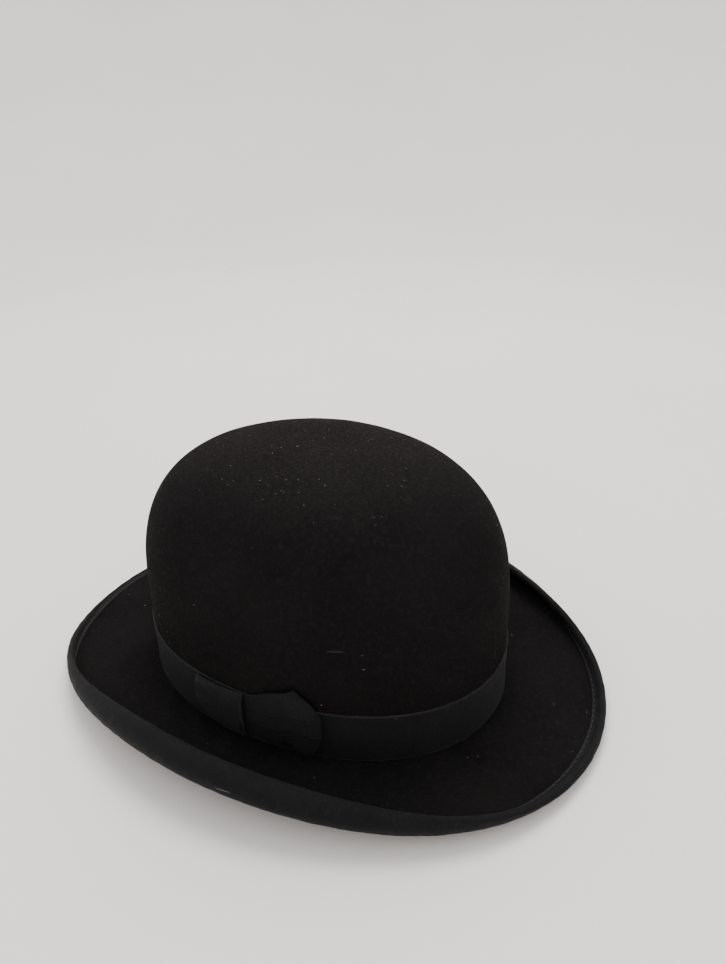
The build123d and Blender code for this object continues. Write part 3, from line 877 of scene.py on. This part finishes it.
def round_section(radius, first, last, count):
    """(outward, height) places round the reed's centre line between two section angles."""
    turns = np.radians(np.linspace(first, last, count))
    return [(-TAPE_MIDDLE + radius * math.cos(t), radius * math.sin(t)) for t in turns]


def ring_along_root(name, section):
    """Closed ring round the inside with one (outward, height) section, heights from the reed's centre."""
    centre = root_height() + HALF_FELT
    points = np.stack([oval(out, centre + up) for out, up in section])
    uv = cloth_uv(np.append(arc_lengths(points).mean(1), 0.0), PLAN_LENGTH)
    # A rim far from any selvedge keeps the grosgrain's painted selvedge highlight off the tape.
    no_selvedge = np.full(points.shape[:2], 5 * MM)
    return grid_object(name, points, uv, no_selvedge, wrap_rows=True, wrap_columns=True)


def sweatband_reed():
    return ring_along_root("sweatband_reed", round_section(REED_RADIUS, 0, 330, 12)[::-1])


def reed_tape():
    """Tape folded under the reed, with its long side against the felt and its short side shown."""
    front = -TAPE_MIDDLE - TAPE_RADIUS
    section = [(-TAPE_OUTER, up) for up in np.linspace(TAPE_UPSTAND, 0, 6)[:-1]]
    section += round_section(TAPE_RADIUS, 0, -180, 9)
    section += [(front, TAPE_TURN_UP), (front + TAPE, TAPE_TURN_UP)]
    section += round_section(TAPE_RADIUS - TAPE, -180, 0, 9)
    section += [(-TAPE_OUTER - TAPE, up) for up in np.linspace(0, TAPE_UPSTAND, 6)[1:]]
    return ring_along_root("reed_tape", section)


def sweatband_stitches():
    lie = TAPE_MIDDLE + TAPE_RADIUS + 0.10 * MM
    loop = oval(-lie, root_height() + HALF_FELT + 1.4 * MM)
    return stitches("sweatband_stitches", row_of_stitches(loop, -OUTWARD, SWEATBAND_STITCHES), 2.4 * MM)


def back_seam_stitches():
    """Zigzag thread across the sweatband's back join."""
    count, reach, margin = 27, 1.6 * MM, 4 * MM
    lie = SWEATBAND_OUTER + LEATHER + 0.14 * MM
    pitch = (SWEATBAND_WIDTH - 2 * margin) / count
    inward = np.array([0, -1.0, 0])
    places = []
    for step in range(count):
        above = margin + pitch * (step + 0.5)
        inset = lie + SWEATBAND_LEAN * above / SWEATBAND_WIDTH
        middle = np.array([0, HALF_LENGTH - inset, sweatband_bottom(0.0) + above])
        places.append((middle, np.array([reach, 0, pitch / 2 * (1 if step % 2 else -1)]), inward))
    return stitches("back_seam_stitches", places, 2 * reach)


def folded_strip(spine, half_width, thick):
    """(points, faces) of a closed loop of ribbon along a spine; half_width is a vector at each point."""
    ahead = np.roll(spine, -1, 0) - np.roll(spine, 1, 0)
    out = np.cross(ahead, half_width)
    out *= thick / 2 / np.linalg.norm(out, axis=-1, keepdims=True)
    rows = [spine + half_width + out, spine + out, spine - half_width + out,
            spine - half_width - out, spine - out, spine + half_width - out]
    index, _ = grid_faces(len(rows), len(spine), True, True)
    return np.stack(rows).reshape(-1, 3), [tuple(f) for f in index]


def sweatband_bow():
    """Small flat bow on the back join: two loops pinched by a knot."""
    low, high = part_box("sweatband_bow")
    middle = np.array((low + high) / 2)
    reach, tall = (high.x - low.x) / 2, (high.z - low.z) / 2
    turns = np.linspace(0, 2 * math.pi, 48, endpoint=False)
    open_share = (1 - np.cos(turns)) / 2
    up = np.array([0, 0, 1.0])
    parts = []
    for side in (-1, 1):
        spine = np.stack([side * (0.4 * MM + (reach - 0.4 * MM) * open_share),
                          1.0 * MM * np.sin(turns), -0.5 * MM * open_share ** 2], -1)
        width = (tall * (0.5 + 0.5 * open_share ** 0.7))[:, None] * up
        parts.append(folded_strip(middle + spine, width, 0.35 * MM))
    wrap = np.stack([0 * turns, 1.35 * MM * np.cos(turns), 2.2 * MM * np.sin(turns)], -1)
    parts.append(folded_strip(middle + wrap, np.broadcast_to([1.5 * MM, 0, 0], wrap.shape), 0.35 * MM))
    return joined("sweatband_bow", parts)


def lining_shell(name, turns, wall_heights, gather, poles):
    """Closed sheet inside the dome; gather(rows, heights) gives how far its folds hang in."""
    outer = dome_face(LINING_OUTER, turns, wall_heights)
    normals = outward_normals(outer)
    folds = gather(outer)[..., None] * normals
    sheet = np.concatenate([outer - folds, (outer - folds - normals * LINING)[::-1]])
    return grid_object(name, sheet, wrap_columns=True, wrap_rows=not poles, poles=poles)


def turn_at_height(height, inset):
    return math.asin(((height - WALL_TOP) / (TOP - inset - WALL_TOP)) ** (DOME_EXPONENT / 2))


def fold_pattern(points):
    """Irregular folds running up the lining, 0 between folds and 1 on them."""
    sway = ripple(points, 60 * MM, 31)
    return np.abs(np.sin(ANGLES * LINING_FOLDS / 2 + 0.9 * sway)) ** 3


def lining_side():
    seam = turn_at_height(SEAM_HEIGHT - 0.1 * MM, LINING_OUTER)

    def gather(points):
        rise = (points[..., 2] - LINING_BOTTOM) / (SEAM_HEIGHT - LINING_BOTTOM)
        depth = 1.1 * MM * (0.25 + 0.75 * rise) * (0.3 + 0.7 * np.sin(math.pi * rise))
        return depth * fold_pattern(points)

    walls = np.linspace(WALL_TOP, LINING_BOTTOM, 9)[1:]
    return lining_shell("lining_side", np.linspace(seam, 0, 36), walls, gather, ())


def lining_tip():
    seam = turn_at_height(SEAM_HEIGHT + 0.1 * MM, LINING_OUTER)

    def gather(points):
        level = np.linalg.norm(points[..., :2], axis=-1) / HALF_LENGTH
        slack = 0.5 * MM * (1 + ripple(points, 50 * MM, 33)) / 2
        return 0.8 * MM * fold_pattern(points) * level ** 4 + slack

    turns = np.linspace(math.radians(88.5), seam, 40)
    return lining_shell("lining_tip", turns, (), gather, (0, -1))


def lining_seam():
    inset = LINING_OUTER + LINING + 0.45 * MM
    rows = dome_face(inset, np.array([turn_at_height(h, inset) for h in
                                      (SEAM_HEIGHT + MM, SEAM_HEIGHT, SEAM_HEIGHT - MM)]))
    inward = -outward_normals(rows)[1]
    return stitches("lining_seam", row_of_stitches(rows[1], inward, LINING_STITCHES), 2.2 * MM)


def size_ticket():
    """Blank paper ticket standing between the sweatband and the lining, its top corner bent in."""
    low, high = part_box("size_ticket")
    across, along = patch_grid(13, 21)
    arc = low.y + (high.y - low.y) * along
    up = low.z + (high.z - low.z) * across
    out = (low.x + high.x) / 2 - HALF_WIDTH - 0.5 * MM * across ** 3 * (0.4 + 0.6 * along ** 2)
    return ribbon_patch("size_ticket", arc, out, up, 0.2 * MM)


# --- the whole hat ---

def place(make, slot, material):
    """Builds a piece, which stands for the CAD node that its function is named after."""
    node = make.__name__
    piece = make()
    piece.name = node + "_detail"
    piece.data.materials.append(material)
    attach(piece, "root")
    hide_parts(node)


def main():
    ribbon = grosgrain_material("grosgrain")
    # The knot gets a lighter copy of the grosgrain: painted light where the knot faces the window lamp.
    lit_knot_ribbon = grosgrain_material("knot_ribbon_painted_light", (0.0088, 0.0087, 0.0096))
    edging = grosgrain_material("edging", (0.0052, 0.0051, 0.0056), pale_spot_place=BINDING_PALE_SPOT)
    tape = grosgrain_material("tape", (0.016, 0.014, 0.014), 0.5 * MM)
    black_thread = fine_material("black_thread", (0.016, 0.016, 0.017))
    tan_thread = fine_material("tan_thread", (0.48, 0.36, 0.24))
    lining = satin_material("lining", (0.36, 0.32, 0.26), (0.56, 0.51, 0.42))
    bow_satin = satin_material("bow_satin", (0.030, 0.026, 0.026), (0.055, 0.050, 0.050))
    for make, slot, material in (
            (felt_body, "felt", felt_material()),
            (brim_binding, "grosgrain", edging),
            (binding_stitches, "thread", black_thread),
            (hat_band, "grosgrain", ribbon),
            (band_tacks, "thread", black_thread),
            (bow_knot, "grosgrain", lit_knot_ribbon),
            (bow_loop, "grosgrain", ribbon),
            (bow_tail, "grosgrain", ribbon),
            (bow_tacks, "thread", black_thread),
            (sweatband, "leather", leather_material()),
            (sweatband_reed, "reed", fine_material("reed", (0.60, 0.55, 0.43), 900, 0.1 * MM, 0.45)),
            (reed_tape, "tape", tape),
            (sweatband_stitches, "light_thread", tan_thread),
            (back_seam_stitches, "light_thread", tan_thread),
            (sweatband_bow, "tape", bow_satin),
            (lining_side, "lining", lining),
            (lining_tip, "lining", lining),
            (lining_seam, "lining_thread", fine_material("lining_thread", (0.60, 0.54, 0.44))),
            (size_ticket, "paper", fine_material("paper", (0.70, 0.66, 0.55), 1500, 0.05 * MM, 0.8))):
        place(make, slot, material)


# --- floor, light and camera ---

FLOOR_RADIUS = 1.4
COVE_RADIUS = 1.0
WALL_HEIGHT = 2.3
SKY_STRENGTH = 1.52
# Lamps: name, place, target, size in metres, watts and colour
LAMPS = (("window", (-0.7, -0.4, 1.8), (0, 0, 0.08), 1.3, 36, (1.0, 0.985, 0.965)),
         ("fill", (1.1, 0.9, 1.1), (0, 0, 0.05), 1.0, 3.5, (1.0, 0.97, 0.94)))


def floor_material():
    """Plain pale floor; its underside is see-through, so the hat can be looked at from below."""
    s = Shader("floor")
    tone = s.noise(3, 2, 0.5)
    s.finish(color=s.mix(s.span(tone, 0.3, 0.7), (0.79, 0.765, 0.74), (0.82, 0.795, 0.77)), roughness=0.7,
             specular=0.2)
    clear = s.node("ShaderNodeBsdfTransparent")
    sides = s.node("ShaderNodeMixShader")
    s.put(s.node("ShaderNodeNewGeometry").outputs["Backfacing"], sides.inputs[0])
    s.put(s.surface.outputs[0], sides.inputs[1])
    s.put(clear.outputs[0], sides.inputs[2])
    s.put(sides.outputs[0], s.tree.nodes["Material Output"].inputs["Surface"])
    return s.material


def stage():
    """Pale floor that curves up into a round wall, open above."""
    turns = -np.linspace(0, 2 * math.pi, 96, endpoint=False)
    profile = [(FLOOR_RADIUS, 0.0)]
    for turn in np.linspace(0, math.pi / 2, 13)[1:]:
        profile.append((FLOOR_RADIUS + COVE_RADIUS * math.sin(turn), COVE_RADIUS * (1 - math.cos(turn))))
    profile.append((FLOOR_RADIUS + COVE_RADIUS, WALL_HEIGHT))
    ring = np.stack([np.cos(turns), np.sin(turns), np.zeros(len(turns))], -1)
    rows = [ring * radius + np.array([0, 0, height]) for radius, height in profile]
    index, _ = grid_faces(len(rows), len(turns), False, True)
    faces = [tuple(f) for f in index] + [tuple(range(len(turns)))[::-1]]
    floor = mesh_object("floor", np.concatenate(rows), faces)
    floor.data.materials.append(floor_material())
    world = bpy.data.worlds.new("studio")
    world.use_nodes = True
    sky = world.node_tree.nodes["Background"]
    sky.inputs["Color"].default_value = (0.97, 0.98, 1.0, 1)
    sky.inputs["Strength"].default_value = SKY_STRENGTH
    bpy.context.scene.world = world


def soft_light(name, position, target, size, power, color):
    data = bpy.data.lights.new(name, "AREA")
    data.shape = "DISK"
    data.size = size
    data.energy = power
    data.color = color
    lamp = bpy.data.objects.new(name, data)
    lamp.location = position
    lamp.rotation_euler = (Vector(target) - Vector(position)).to_track_quat("-Z", "Y").to_euler()
    bpy.context.scene.collection.objects.link(lamp)


CAMERA_AZIMUTH = math.radians(124.12)
CAMERA_ELEVATION = math.radians(25.11)
CAMERA_ROLL = math.radians(1.475)
CAMERA_DISTANCE = 0.4112
CAMERA_TARGET = Vector((0, 0, 0.0588))
CAMERA_RIGHT = 0.02313
CAMERA_UP = 0.04611
CAMERA_LENS = 27.86
SENSOR = 36.0


def camera():
    """Camera at the viewing angle: azimuth 0 looks along +Y, and 90 along -X."""
    a, e = CAMERA_AZIMUTH, CAMERA_ELEVATION
    back = Vector((math.sin(a) * math.cos(e), -math.cos(a) * math.cos(e), math.sin(e)))
    right = (-back).cross(Vector((0, 0, 1))).normalized()
    up = right.cross(-back)
    data = bpy.data.cameras.new("camera")
    data.sensor_fit = "VERTICAL"
    data.sensor_height = SENSOR
    data.lens = CAMERA_LENS
    data.clip_start = 0.01
    cam = bpy.data.objects.new("camera", data)
    eye = CAMERA_TARGET + back * CAMERA_DISTANCE + right * CAMERA_RIGHT + up * CAMERA_UP
    rolled_right = right * math.cos(CAMERA_ROLL) - up * math.sin(CAMERA_ROLL)
    rolled_up = right * math.sin(CAMERA_ROLL) + up * math.cos(CAMERA_ROLL)
    rows = [(rolled_right[i], rolled_up[i], back[i], eye[i]) for i in range(3)]
    cam.matrix_world = Matrix(rows + [(0, 0, 0, 1)])
    bpy.context.scene.collection.objects.link(cam)
    bpy.context.scene.camera = cam


main()
stage()
for lamp_settings in LAMPS:
    soft_light(*lamp_settings)
camera()
